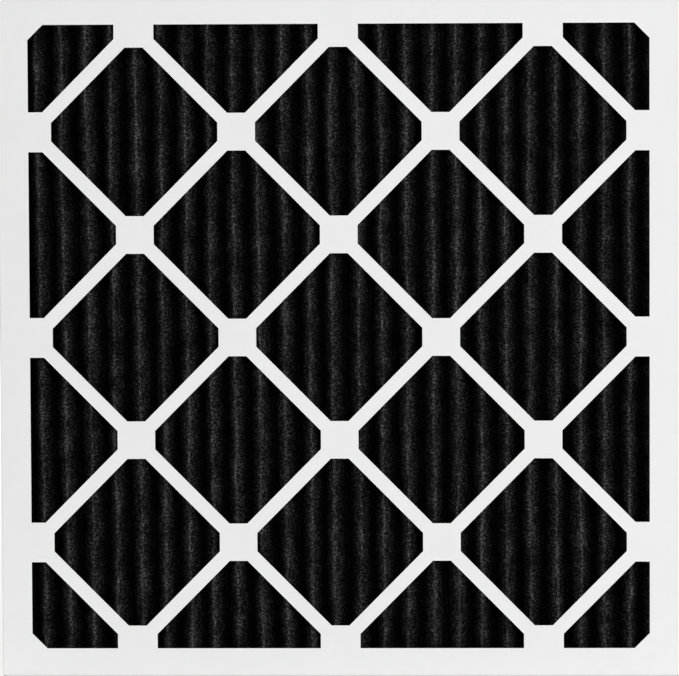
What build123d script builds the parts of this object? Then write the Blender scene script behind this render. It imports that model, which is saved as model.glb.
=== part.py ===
from build123d import *
import math
import os

# Disposable pleated panel air filter: two die-cut card trays, one nested in the other, hold a
# pleated pack of nonwoven media, bonded to the rim by a bead of adhesive.
# Millimetres. X runs across the panel, Y through it and Z up. The origin is at the middle of the
# bottom edge. Air enters at the front face, towards -Y, and leaves at the rear face.

# The panel
WIDTH = 494.5
HEIGHT = 496.5
THICKNESS = 19.0

# The board of both trays
BOARD = 0.7
FOLD_RADIUS = 1.0  # outside of a scored fold
GLUE_LINE = 0.15  # between two walls of board

# The diamond lattice cut in both faces
SIDE_BORDER = 21.8
END_BORDER = 20.6
CELLS = 6  # steps of the lattice from one edge of the opening to the other
STRAP_WIDTH = 10.0
PAD_SIZE = 27.4  # square where straps cross
BORDER_PAD = 29.0  # width where straps meet the border
OVERHANG = 3.0  # from the outermost row of crossings to the border
CORNER_CHAMFER = 11.0

# Tabs at the ends of the front tray's top and bottom flaps, and the room they need
TAB_LENGTH = 24.0
TAB_TAPER = 4.0
TAB_CLEARANCE = 3.0
EDGE_CLEARANCE = 0.3  # from a cut edge of board to the next wall

# The adhesive bead round the pack
SEAL = 1.5
SEAL_INSET = 1.0  # from the pack's tips to the bead's edges

# The pleated media
SHEET = 1.6
CREASE_RADIUS = 0.4  # inside of a fold
PLEAT_PITCH = 17.85
MIN_TAIL = 3.0  # least width of sheet left over, laid flat behind the right border
TIP_GAP = 0.35  # from the pleat tips to the board

# The nested tray and the pack follow from the walls around them
RIM = BOARD + GLUE_LINE
INNER_WIDTH = WIDTH - 2 * RIM
INNER_HEIGHT = HEIGHT - 2 * RIM
CAVITY_WIDTH = INNER_WIDTH - 2 * BOARD
CAVITY_HEIGHT = INNER_HEIGHT - 2 * BOARD
CAVITY_DEPTH = THICKNESS - 2 * BOARD
PACK_WIDTH = CAVITY_WIDTH - 2 * SEAL
PACK_HEIGHT = CAVITY_HEIGHT - 2 * SEAL
PACK_DEPTH = CAVITY_DEPTH - 2 * TIP_GAP


def folded_strip(*corners):
    """The section of a strip of board that is folded at each corner of its outside line."""
    with BuildSketch() as section:
        with BuildLine():
            outside = FilletPolyline(*corners, radius=FOLD_RADIUS)
            offset(outside, amount=BOARD, side=Side.RIGHT)
        make_face()
    return section.sketch


def channel(span, depth):
    """The section of a face of the given span with a flap folded back along both of its edges."""
    return folded_strip((span / 2, depth), (span / 2, 0), (-span / 2, 0), (-span / 2, depth))


def folded_blank(width, height, depth):
    """A face on the plane Y = 0 with four flaps folded towards +Y, before its windows are cut."""
    corner = RIM + FOLD_RADIUS
    side_flaps = extrude(channel(width, depth), height / 2 - FOLD_RADIUS, both=True)
    end_plane = Plane(origin=(0, 0, 0), x_dir=(0, 0, 1), z_dir=(-1, 0, 0))
    end_flaps = extrude(end_plane * channel(height, depth), width / 2 - corner, both=True)
    return side_flaps + end_flaps


def lattice_windows():
    """The windows of the diamond lattice: what the straps and pads leave of the opening."""
    opening_width = WIDTH - 2 * SIDE_BORDER
    opening_height = HEIGHT - 2 * END_BORDER
    step_x = (opening_width - 2 * OVERHANG) / CELLS
    step_y = (opening_height - 2 * OVERHANG) / CELLS
    lean = math.degrees(math.atan2(step_y, step_x))
    reach = math.hypot(opening_width, opening_height)
    middle = CELLS / 2

    windows = Rectangle(opening_width, opening_height)
    windows = chamfer(windows.vertices(), CORNER_CHAMFER)
    for row in range(1, 2 * CELLS, 2):
        shift = (row - CELLS) * step_x
        windows -= Pos(shift, 0) * Rot(0, 0, lean) * Rectangle(reach, STRAP_WIDTH)
        windows -= Pos(shift, 0) * Rot(0, 0, -lean) * Rectangle(reach, STRAP_WIDTH)
    for across in range(CELLS + 1):
        for up in range(CELLS + 1):
            if (across + up) % 2 == 0:
                continue
            wide = BORDER_PAD if up in (0, CELLS) else PAD_SIZE
            tall = BORDER_PAD if across in (0, CELLS) else PAD_SIZE
            centre = Pos((across - middle) * step_x, (up - middle) * step_y)
            windows -= centre * Rectangle(wide, tall)
    return windows


def cut_windows(tray):
    """The tray with the lattice cut through its face, which lies on the plane Y = 0."""
    return tray - extrude(Plane.XZ * lattice_windows(), -BOARD)


def corner_tab():
    """The tab folded down from the right end of the top flap, to lie behind the side flap."""
    wall = WIDTH / 2 - RIM
    top = HEIGHT / 2
    root = wall - 2 * FOLD_RADIUS
    bent = folded_strip((root, top), (wall, top), (wall, top - TAB_LENGTH))
    half_width = THICKNESS / 2 - FOLD_RADIUS - EDGE_CLEARANCE
    tab = extrude(Plane.XZ.offset(-THICKNESS / 2) * bent, half_width, both=True)
    tip = tab.edges().filter_by(Axis.X).group_by(Axis.Z)[0]
    return chamfer(tip, TAB_TAPER)


def front_frame():
    """The outer tray, with glued tabs at its four corners."""
    tray = cut_windows(folded_blank(WIDTH, HEIGHT, THICKNESS))
    tab = corner_tab()
    for upper in (tab, mirror(tab, Plane.YZ)):
        tray += upper
        tray += mirror(upper, Plane.XY)
    return Pos(0, -THICKNESS / 2, HEIGHT / 2) * tray


def rear_frame():
    """The inner tray, turned to face backwards, its side flaps cut short of the corner tabs."""
    depth = THICKNESS - BOARD - EDGE_CLEARANCE
    tray = cut_windows(folded_blank(INNER_WIDTH, INNER_HEIGHT, depth))
    cut_length = TAB_LENGTH + TAB_CLEARANCE
    cutter = Box(2 * FOLD_RADIUS, depth, 2 * cut_length)
    for side in (-1, 1):
        for end in (-1, 1):
            corner = Pos(side * INNER_WIDTH / 2, FOLD_RADIUS + depth / 2, end * HEIGHT / 2)
            tray -= corner * cutter
    return Pos(0, THICKNESS / 2, HEIGHT / 2) * Rot(0, 0, 180) * tray


def edge_seal():
    """The bead of adhesive round the pack, between it and the rim."""
    bead = Rectangle(CAVITY_WIDTH, CAVITY_HEIGHT) - Rectangle(PACK_WIDTH, PACK_HEIGHT)
    ring = extrude(Plane.XZ * bead, PACK_DEPTH / 2 - SEAL_INSET, both=True)
    return Pos(0, 0, HEIGHT / 2) * ring


def pleated_media():
    """The folded sheet: pleats from the left wall on, and its tail laid flat behind them."""
    # A flank's middle line is tangent to the fold's circle at its crest and at its valley.
    fold = CREASE_RADIUS + SHEET / 2
    half_pitch = PLEAT_PITCH / 2
    rise = PACK_DEPTH - SHEET - 2 * fold
    apart = math.hypot(half_pitch, rise)
    slope = math.atan2(half_pitch, rise) - math.asin(2 * fold / apart)
    peak = rise / 2 + fold / math.sin(slope)

    # Both ends of the sheet turn forwards along the side walls.
    wall = (PACK_WIDTH - SHEET) / 2
    lip = SHEET - PACK_DEPTH / 2
    start = fold - wall
    points = [(-wall, lip), (-wall, peak + fold / math.tan(slope))]
    pleats = int((wall - MIN_TAIL - start) / PLEAT_PITCH)
    for step in range(1, 2 * pleats):
        points.append((start + step * half_pitch, peak if step % 2 == 0 else -peak))
    flat = (PACK_DEPTH - SHEET) / 2
    tail = start + pleats * PLEAT_PITCH - (peak - flat) * math.tan(slope)
    points += [(tail, flat), (wall, flat), (wall, lip)]
    middle_line = FilletPolyline(*points, radius=fold)
    section = make_face(offset(middle_line, amount=SHEET / 2, side=Side.BOTH).edges())
    return Pos(0, 0, HEIGHT / 2) * extrude(section, PACK_HEIGHT / 2, both=True)


os.makedirs("parts", exist_ok=True)
export_step(front_frame(), "parts/front_frame.step")
export_step(rear_frame(), "parts/rear_frame.step")
export_step(edge_seal(), "parts/edge_seal.step")
export_step(pleated_media(), "parts/pleated_media.step")
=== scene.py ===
import math

import bpy
import numpy as np
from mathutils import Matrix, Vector, noise


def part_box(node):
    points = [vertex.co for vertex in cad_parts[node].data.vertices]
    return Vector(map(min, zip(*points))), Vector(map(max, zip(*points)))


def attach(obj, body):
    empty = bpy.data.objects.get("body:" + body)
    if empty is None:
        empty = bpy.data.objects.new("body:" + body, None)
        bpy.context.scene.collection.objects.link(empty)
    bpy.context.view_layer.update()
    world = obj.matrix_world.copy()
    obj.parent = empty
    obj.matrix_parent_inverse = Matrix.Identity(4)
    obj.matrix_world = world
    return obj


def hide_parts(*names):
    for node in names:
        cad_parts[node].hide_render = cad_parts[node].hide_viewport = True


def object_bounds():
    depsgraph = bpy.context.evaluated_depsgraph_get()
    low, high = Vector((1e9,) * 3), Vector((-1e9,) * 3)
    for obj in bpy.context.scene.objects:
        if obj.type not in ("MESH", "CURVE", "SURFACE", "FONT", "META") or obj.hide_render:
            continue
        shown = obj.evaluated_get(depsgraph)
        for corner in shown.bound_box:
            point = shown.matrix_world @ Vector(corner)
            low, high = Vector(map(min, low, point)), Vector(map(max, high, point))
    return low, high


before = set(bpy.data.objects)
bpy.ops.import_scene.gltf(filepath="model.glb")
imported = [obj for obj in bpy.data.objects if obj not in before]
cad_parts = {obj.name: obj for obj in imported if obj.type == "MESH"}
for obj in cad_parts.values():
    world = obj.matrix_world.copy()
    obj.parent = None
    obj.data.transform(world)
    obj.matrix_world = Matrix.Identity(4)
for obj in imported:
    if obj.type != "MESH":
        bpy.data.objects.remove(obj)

cad_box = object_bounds()


# The card trays
# Both are die-cut from one board: brown kraft fibre under a white clay coat. The coat is on the
# outside of the folded tray, so the cut edges, the inside and the glued tabs are bare kraft.
FOLD_RADIUS = 0.001
COAT = 0.00012  # how deep the coat goes
COAT_END = 0.0002  # how deep the last of it goes
COAT_WHITE = (0.855, 0.855, 0.855, 1.0)
COAT_SHADE = (0.845, 0.845, 0.845, 1.0)
KRAFT_LIGHT = (0.36, 0.235, 0.135, 1.0)
KRAFT_DARK = (0.21, 0.125, 0.065, 1.0)
COAT_ROUGHNESS, KRAFT_ROUGHNESS = 0.6, 0.9
BOARD_SHINE = 0.25
CLOUD_SCALE, CLOUD_SPAN = 60.0, (0.35, 0.65)
KRAFT_SCALE, KRAFT_SPAN = 900.0, (0.3, 0.7)
GRAIN_SCALE = 3500.0
FIBRE_THROUGH_COAT = 0.3  # share of the kraft's relief that shows through the coat
GRAIN_HEIGHT = 0.2
BOARD_RELIEF = (0.15, 0.0001)


class Wire:
    """One socket of a material's nodes. Arithmetic on it adds Math nodes."""

    def __init__(self, tree, socket=None):
        self.tree = tree
        self.socket = socket

    def node(self, kind, settings=None, inputs=None, output=0):
        """A new node: its settings, then the values or wires of its sockets; returns one output."""
        made = self.tree.nodes.new("ShaderNode" + kind)
        for name, value in (settings or {}).items():
            setattr(made, name, value)
        for key, value in (inputs or {}).items():
            if isinstance(value, Wire):
                self.tree.links.new(value.socket, made.inputs[key])
            else:
                made.inputs[key].default_value = value
        return Wire(self.tree, made.outputs[output])

    def math(self, operation, *values):
        return self.node("Math", {"operation": operation}, dict(enumerate(values)))

    def __add__(self, other):
        return self.math("ADD", self, other)

    def __sub__(self, other):
        return self.math("SUBTRACT", self, other)

    def __rsub__(self, other):
        return self.math("SUBTRACT", other, self)

    def __mul__(self, other):
        return self.math("MULTIPLY", self, other)

    def __abs__(self):
        return self.math("ABSOLUTE", self)

    __radd__ = __add__
    __rmul__ = __mul__

    def most(self, other):
        return self.math("MAXIMUM", self, other)

    def between(self, low, high):
        """0 below low and 1 above high, with a smooth step between them."""
        return self.node(
            "MapRange", {"interpolation_type": "SMOOTHSTEP"}, {0: self, 1: low, 2: high}
        )

    def blend(self, first, second):
        """The first colour where this value is 0 and the second where it is 1."""
        return self.node("Mix", {"data_type": "RGBA"}, {0: self, 6: first, 7: second}, 2)

    def scaled(self, times, plus):
        return self * times + plus

    def axis(self, name):
        """The part of this vector along X, Y or Z."""
        return self.node("SeparateXYZ", inputs={"Vector": self}, output=name)

    def stretch(self, factors):
        return self.node("VectorMath", {"operation": "MULTIPLY"}, {0: self, 1: factors})

    def length(self):
        return self.node("VectorMath", {"operation": "LENGTH"}, {0: self}, "Value")

    def noise(self, scale, detail):
        """Noise between 0 and 1, laid out over the place that this vector gives."""
        return self.node("TexNoise", inputs={"Vector": self, "Scale": scale, "Detail": detail})

    def relief(self, strength, distance):
        """The surface's normal, as if this value were its height."""
        return self.node("Bump", inputs={"Strength": strength, "Distance": distance, "Height": self})


def new_material(name):
    """A material with one Principled shader: the material, a wire of its nodes and the shader."""
    made = bpy.data.materials.new(name)
    made.use_nodes = True
    shader = made.node_tree.nodes["Principled BSDF"]
    return made, Wire(made.node_tree), shader


def plug(shader, **sockets):
    """Links wires to the shader's sockets, whose names are given with _ for each space."""
    for name, wire in sockets.items():
        wire.tree.links.new(wire.socket, shader.inputs[name.replace("_", " ")])


def board_material(name, node, facing):
    """White coat on the outside of a tray whose face looks along facing on Y, kraft elsewhere."""
    made, wire, shader = new_material(name)
    low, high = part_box(node)
    centre, half = (low + high) / 2, (high - low) / 2
    place = wire.node("TexCoord", output="Object")
    across, through, up = (place.axis(name) for name in "XYZ")
    # The coat's surface is a box with rounded edges, open at the back.
    beyond_side = (abs(across - centre.x) - (half.x - FOLD_RADIUS)).most(0.0)
    beyond_end = (abs(up - centre.z) - (half.z - FOLD_RADIUS)).most(0.0)
    beyond_face = ((through - centre.y) * facing - (half.y - FOLD_RADIUS)).most(0.0)
    gap = wire.node("CombineXYZ", inputs={"X": beyond_side, "Y": beyond_face, "Z": beyond_end})
    bare = (FOLD_RADIUS - gap.length()).between(COAT, COAT_END)

    cloud = place.noise(CLOUD_SCALE, detail=3.0)
    fibre = place.noise(KRAFT_SCALE, detail=4.0)
    grain = place.noise(GRAIN_SCALE, detail=2.0)
    coat = cloud.between(*CLOUD_SPAN).blend(COAT_WHITE, COAT_SHADE)
    kraft = fibre.between(*KRAFT_SPAN).blend(KRAFT_DARK, KRAFT_LIGHT)
    fibre_share = bare.scaled(1 - FIBRE_THROUGH_COAT, FIBRE_THROUGH_COAT)
    height = fibre * fibre_share + grain * GRAIN_HEIGHT
    plug(
        shader,
        Base_Color=bare.blend(coat, kraft),
        Roughness=bare.scaled(KRAFT_ROUGHNESS - COAT_ROUGHNESS, COAT_ROUGHNESS),
        Normal=height.relief(*BOARD_RELIEF),
    )
    shader.inputs["Specular IOR Level"].default_value = BOARD_SHINE
    return made


def finish_node(node, material):
    """Gives a part of the frame its finish."""
    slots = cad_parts[node].data.materials
    slots.clear()
    slots.append(material)


finish_node("front_frame", board_material("white card front", "front_frame", facing=-1.0))
finish_node("rear_frame", board_material("white card rear", "rear_frame", facing=1.0))


# The adhesive
# A bead of cream adhesive runs round the pack between the ends of the pleats and the rim. It has
# set hard, with a slightly glossy, lumpy surface.
BEAD_PALE = (0.70, 0.63, 0.47, 1.0)
BEAD_DEEP = (0.55, 0.46, 0.30, 1.0)
BEAD_SCALE, BEAD_SPAN = 250.0, (0.35, 0.65)
BEAD_GLOSSY, BEAD_DULL = 0.35, 0.55
BEAD_RELIEF = (0.5, 0.0004)

adhesive, wire, shader = new_material("cream adhesive")
lumps = wire.node("TexCoord", output="Object").noise(BEAD_SCALE, detail=3.0)
plug(
    shader,
    Base_Color=lumps.between(*BEAD_SPAN).blend(BEAD_DEEP, BEAD_PALE),
    Roughness=lumps.scaled(BEAD_DULL - BEAD_GLOSSY, BEAD_GLOSSY),
    Normal=lumps.relief(*BEAD_RELIEF),
)
finish_node("edge_seal", adhesive)


# The pleated media
# One sheet of soft nonwoven, loaded with carbon until it is black, is scored and folded into an
# even run of pleats. Its pleats wander and lean a little. Its colour carries a painted highlight,
# grey at their tips, that fades into painted shade, near black, down the flanks into the valleys.
SHEET = 0.0012
CREASE = 0.0009  # radius of a fold's middle line
PITCH = 0.01783
PLEATS = 27
ROWS = 145
ARC_STEPS = 4
FLANK_STEPS = 2
LEAN = 0.0105  # for each metre up, at the left end of the pack; none at the right
UNEVEN = 0.0007
WANDER = 0.0006
WANDER_LENGTHS = (0.19, 0.083, 0.031, 0.014)
WANDER_SPREAD = (0.8, 1.25)
WANDER_SHARES = (0.3, 1.0)
SHORT_WAVE_FALL = 0.3
TIP_DIP = 0.0003
LUMP = 0.00012
LUMP_SCALE = 160.0
SEED = 7

pack_low, pack_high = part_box("pleated_media")
random = np.random.default_rng(SEED)
heights = np.linspace(pack_low.z, pack_high.z, ROWS)


def wander(folds, size):
    """How far each fold strays at each height: slow waves, different for every fold."""
    strayed = np.zeros((ROWS, folds))
    for length in WANDER_LENGTHS:
        phase = random.uniform(0, 2 * math.pi, folds)
        fall = (length / WANDER_LENGTHS[0]) ** SHORT_WAVE_FALL
        share = random.uniform(*WANDER_SHARES, folds) * fall
        each = length * random.uniform(*WANDER_SPREAD, folds)
        strayed += share * np.sin(2 * math.pi * heights[:, None] / each + phase)
    return size * strayed


def round_folds(corners, radius):
    """Rows of points along a folded line whose corners, (rows, folds, 2), become small arcs."""
    before = corners[:, :-2] - corners[:, 1:-1]
    after = corners[:, 2:] - corners[:, 1:-1]
    before /= np.linalg.norm(before, axis=2, keepdims=True)
    after /= np.linalg.norm(after, axis=2, keepdims=True)
    half = np.arccos(np.clip((before * after).sum(2), -1, 1))[..., None] / 2
    inward = before + after
    inward /= np.linalg.norm(inward, axis=2, keepdims=True)
    middle = corners[:, 1:-1] + inward * radius / np.sin(half)
    sideways = before - inward * np.cos(half)
    sideways /= np.linalg.norm(sideways, axis=2, keepdims=True)
    sweep = math.pi / 2 - half
    arcs = []
    for step in range(ARC_STEPS + 1):
        turn = sweep * (1 - 2 * step / ARC_STEPS)
        arcs.append(middle + radius * (sideways * np.sin(turn) - inward * np.cos(turn)))
    arcs = np.stack(arcs, axis=2)
    # Each flank gets points of its own between the arcs at its ends.
    shares = (np.arange(1, FLANK_STEPS) / FLANK_STEPS)[:, None]
    starts, ends = arcs[:, :-1, -1:], arcs[:, 1:, :1]
    flanks = starts + (ends - starts) * shares
    runs = [corners[:, :1]]
    for fold in range(arcs.shape[1]):
        runs.append(arcs[:, fold])
        if fold < flanks.shape[1]:
            runs.append(flanks[:, fold])
    runs.append(corners[:, -1:])
    return np.concatenate(runs, axis=1)


def straight_corner(x, y):
    """A corner of the folded line that stays at the same place at every height."""
    return np.full((ROWS, 1, 2), (x, y))


def pleat_corners():
    """The corners of the folded line at every height, from the left wall to the right one."""
    left, right = pack_low.x + SHEET / 2, pack_high.x - SHEET / 2
    front, rear = pack_low.y + SHEET / 2, pack_high.y - SHEET / 2
    rise = rear - front - 2 * CREASE
    apart = math.hypot(PITCH / 2, rise)
    slope = math.atan2(PITCH / 2, rise) - math.asin(2 * CREASE / apart)
    overshoot = CREASE / math.sin(slope) - CREASE

    folds = np.arange(1, 2 * PLEATS)
    across = pack_low.x + folds * PITCH / 2 + random.normal(0, UNEVEN, folds.size)
    lean = LEAN * (pack_high.x - across) / (pack_high.x - pack_low.x)
    middle = (pack_low.z + pack_high.z) / 2
    x = across + lean * (middle - heights[:, None]) + wander(folds.size, WANDER)
    dip = np.abs(wander(folds.size, TIP_DIP))
    y = np.where(folds % 2 == 1, front - overshoot + dip, rear + overshoot - dip)
    line = np.stack([x, y], axis=2)

    start = [
        straight_corner(left, front + SHEET),
        straight_corner(left, rear + overshoot + CREASE / math.tan(slope)),
    ]
    tail = pack_low.x + PLEATS * PITCH - overshoot * math.tan(slope)
    finish = [
        straight_corner(tail, rear),
        straight_corner(right, rear),
        straight_corner(right, front + SHEET),
    ]
    return np.concatenate(start + [line] + finish, axis=1)


profile = round_folds(pleat_corners(), CREASE)
columns = profile.shape[1]
points = np.dstack([profile, np.repeat(heights[:, None], columns, axis=1)]).reshape(-1, 3)
corner = np.arange(ROWS * columns).reshape(ROWS, columns)
quads = np.stack([corner[:-1, :-1], corner[:-1, 1:], corner[1:, 1:], corner[1:, :-1]], axis=2)
sheet_mesh = bpy.data.meshes.new("media")
sheet_mesh.from_pydata(points.tolist(), [], quads.reshape(-1, 4).tolist())
media = bpy.data.objects.new("media", sheet_mesh)
bpy.context.scene.collection.objects.link(media)
bpy.ops.object.select_all(action="DESELECT")
bpy.context.view_layer.objects.active = media
media.select_set(True)

sheet_mesh.update()
normals = [vertex.normal.copy() for vertex in sheet_mesh.vertices]
for vertex, normal in zip(sheet_mesh.vertices, normals):
    vertex.co += normal * noise.noise(vertex.co * LUMP_SCALE) * LUMP
thicken = media.modifiers.new("thickness", "SOLIDIFY")
thicken.thickness = SHEET
thicken.offset = 0.0
bpy.ops.object.modifier_apply(modifier=thicken.name)
bpy.ops.object.shade_smooth()

# The near black is the carbon and also painted shade in the valleys; the grey is a painted highlight
# on the pleat tips.
CARBON_BLACK_AND_SHADE = (0.0012, 0.0012, 0.0012, 1.0)
CARBON_HIGHLIGHT = (0.095, 0.095, 0.096, 1.0)
CARBON_ROUGHNESS = 0.95
CARBON_RELIEF = (0.6, 0.0006)
FLECK_SCALE, FLECK_STRETCH, FLECK_SPAN = 700.0, (0.85, 0.35, 1.0), (0.4, 0.85)
STREAK_SCALE, STREAK_STRETCH = 420.0, (1.0, 0.4, 0.25)
PATCH_SCALE = 55.0
FIBRE_SCALE, FIBRE_STRETCH = 1500.0, (1.0, 0.4, 0.22)
FIBRE_TURNS = (math.radians(35), math.radians(-40))
FIBRE_SHARPNESS = 7
STREAK_HEIGHT, FIBRE_HEIGHT = 0.5, 0.25
# Painted highlight on the tips, fading to painted shade in the valleys. How much each adds to it:
# its own share, then what is left without it
TIP_HIGHLIGHT, VALLEY_SHADE = (0.26, 0.08), 0.02
FLECK_HIGHLIGHT, STREAK_HIGHLIGHT, PATCH_HIGHLIGHT, FIBRE_HIGHLIGHT = (3.2, 0.3), (1.6, 0.2), (2.2, -0.1), (0.9, 0.7)

carbon, wire, shader = new_material("carbon nonwoven")
place = wire.node("TexCoord", output="Object")
normal = wire.node("NewGeometry", output="Normal")
# 1 at the tips on either face of the pack, falling down the flanks, and below 0 in the valleys.
outward = place.axis("Y") * normal.axis("Y") * (1 / pack_high.y)
fleck = place.stretch(FLECK_STRETCH).noise(FLECK_SCALE, detail=2.0)
streak = place.stretch(STREAK_STRETCH).noise(STREAK_SCALE, detail=2.0)
patch = place.noise(PATCH_SCALE, detail=1.0)
# Fine fibres lie in two directions, as thin bright ridges.
ridges = []
for turn in FIBRE_TURNS:
    lay = {"Vector": place, "Rotation": (0.0, turn, 0.0), "Scale": FIBRE_STRETCH}
    wave = wire.node("Mapping", inputs=lay).noise(FIBRE_SCALE, detail=1.0)
    ridges.append(1 - abs(wave * 2 - 1) * FIBRE_SHARPNESS)
fibre = ridges[0].most(ridges[1]).most(0.0)
# The painted highlight of the tips, fading to painted shade in the valleys, breaks up into flecks,
# streaks, patches and fibres.
painted_light = outward.scaled(*TIP_HIGHLIGHT).most(VALLEY_SHADE) * fleck.between(*FLECK_SPAN).scaled(*FLECK_HIGHLIGHT)
painted_light = painted_light * streak.scaled(*STREAK_HIGHLIGHT) * patch.scaled(*PATCH_HIGHLIGHT) * fibre.scaled(*FIBRE_HIGHLIGHT)
height = fleck + streak * STREAK_HEIGHT + fibre * FIBRE_HEIGHT
# The colour runs from a painted highlight on the tips to painted shade in the valleys.
plug(
    shader,
    Base_Color=painted_light.blend(CARBON_BLACK_AND_SHADE, CARBON_HIGHLIGHT),
    Normal=height.relief(*CARBON_RELIEF),
)
shader.inputs["Roughness"].default_value = CARBON_ROUGHNESS
shader.inputs["Specular IOR Level"].default_value = 0.0
sheet_mesh.materials.append(carbon)

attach(media, "root")
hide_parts("pleated_media")


# The studio
# The panel stands on a plain white floor that runs on as a white backdrop. A broad soft lamp stands
# off each face, and a faint one on the floor in front adds what a white floor would throw back.
FLOOR_SIZE = 60.0
FLOOR_WHITE = (0.8, 0.8, 0.8, 1.0)
FLOOR_SEEN = (0.45, 0.45, 0.45, 1.0)
GLOW_NEAR, GLOW_FAR = 0.6, 0.78
GLOW_REACH = (1.5, 7.0)
AMBIENT = 0.52


def seen_directly(wire):
    """1 for what the camera sees itself, in gloss or through glass, and 0 for light on things."""
    rays = ["Is Camera Ray", "Is Glossy Ray", "Is Transmission Ray"]
    camera_ray, glossy_ray, through_ray = (wire.node("LightPath", output=ray) for ray in rays)
    return camera_ray.most(glossy_ray).most(through_ray)


bpy.ops.object.select_all(action="DESELECT")
bpy.ops.mesh.primitive_plane_add(size=FLOOR_SIZE, location=(0, 0, 0))
floor = bpy.context.object
floor.name = "floor"
pale, wire, shader = new_material("pale floor")
seen = seen_directly(wire)
far = wire.node("TexCoord", output="Object").length().between(*GLOW_REACH)
plug(
    shader,
    Base_Color=seen.blend(FLOOR_WHITE, FLOOR_SEEN),
    Emission_Color=seen * far.scaled(GLOW_FAR - GLOW_NEAR, GLOW_NEAR),
)
shader.inputs["Emission Strength"].default_value = 1.0
shader.inputs["Roughness"].default_value = 1.0
shader.inputs["Specular IOR Level"].default_value = 0.0
floor.data.materials.append(pale)

world = bpy.data.worlds.new("studio")
world.use_nodes = True
bpy.context.scene.world = world
wire = Wire(world.node_tree)
backdrop = world.node_tree.nodes["Background"]
glow = seen_directly(wire).scaled(1 - AMBIENT, AMBIENT)
world.node_tree.links.new(glow.socket, backdrop.inputs["Strength"])
backdrop.inputs["Color"].default_value = (1, 1, 1, 1)


def softbox(name, place, target, size, power):
    """A lamp of the given width and height that faces the target, and is never seen itself."""
    place = Vector(place)
    turn = (Vector(target) - place).to_track_quat("-Z", "Y").to_euler()
    bpy.ops.object.light_add(type="AREA", location=place, rotation=turn)
    lamp = bpy.context.object
    lamp.name = name
    lamp.visible_camera = False
    lamp.data.shape = "RECTANGLE"
    lamp.data.size, lamp.data.size_y = size
    lamp.data.energy = power


MIDDLE = (cad_box[0] + cad_box[1]) / 2
softbox("key", place=(1.15, -2.9, 1.1), target=MIDDLE, size=(1.2, 1.2), power=41.5)
softbox("bounce", place=(0.15, -0.29, 0.001), target=(0.15, -0.29, 1.0), size=(0.9, 0.56), power=0.44)
softbox("back", place=(-1.3, 2.9, 1.5), target=MIDDLE, size=(1.4, 1.4), power=42.0)


# The view
# A long lens four metres off takes in the front squarely, from a little above the panel and a
# little to the right of it, so that the panel fills the picture.
SENSOR_WIDTH = 36.0
LENS_LENGTH = 291.9
EYE = Vector((0.1286, -4.0, 0.5395))
AIM = Vector((0.0002, -0.0095, 0.2477))
ROLL = math.radians(-0.273)
CLIP_END = 100.0

bpy.ops.object.select_all(action="DESELECT")
bpy.ops.object.camera_add(location=EYE, rotation=(AIM - EYE).to_track_quat("-Z", "Y").to_euler())
camera = bpy.context.object
camera.rotation_euler.rotate_axis("Z", ROLL)
camera.data.sensor_width = SENSOR_WIDTH
camera.data.lens = LENS_LENGTH
camera.data.clip_end = CLIP_END
bpy.context.scene.camera = camera
bpy.context.scene.view_settings.view_transform = "Standard"
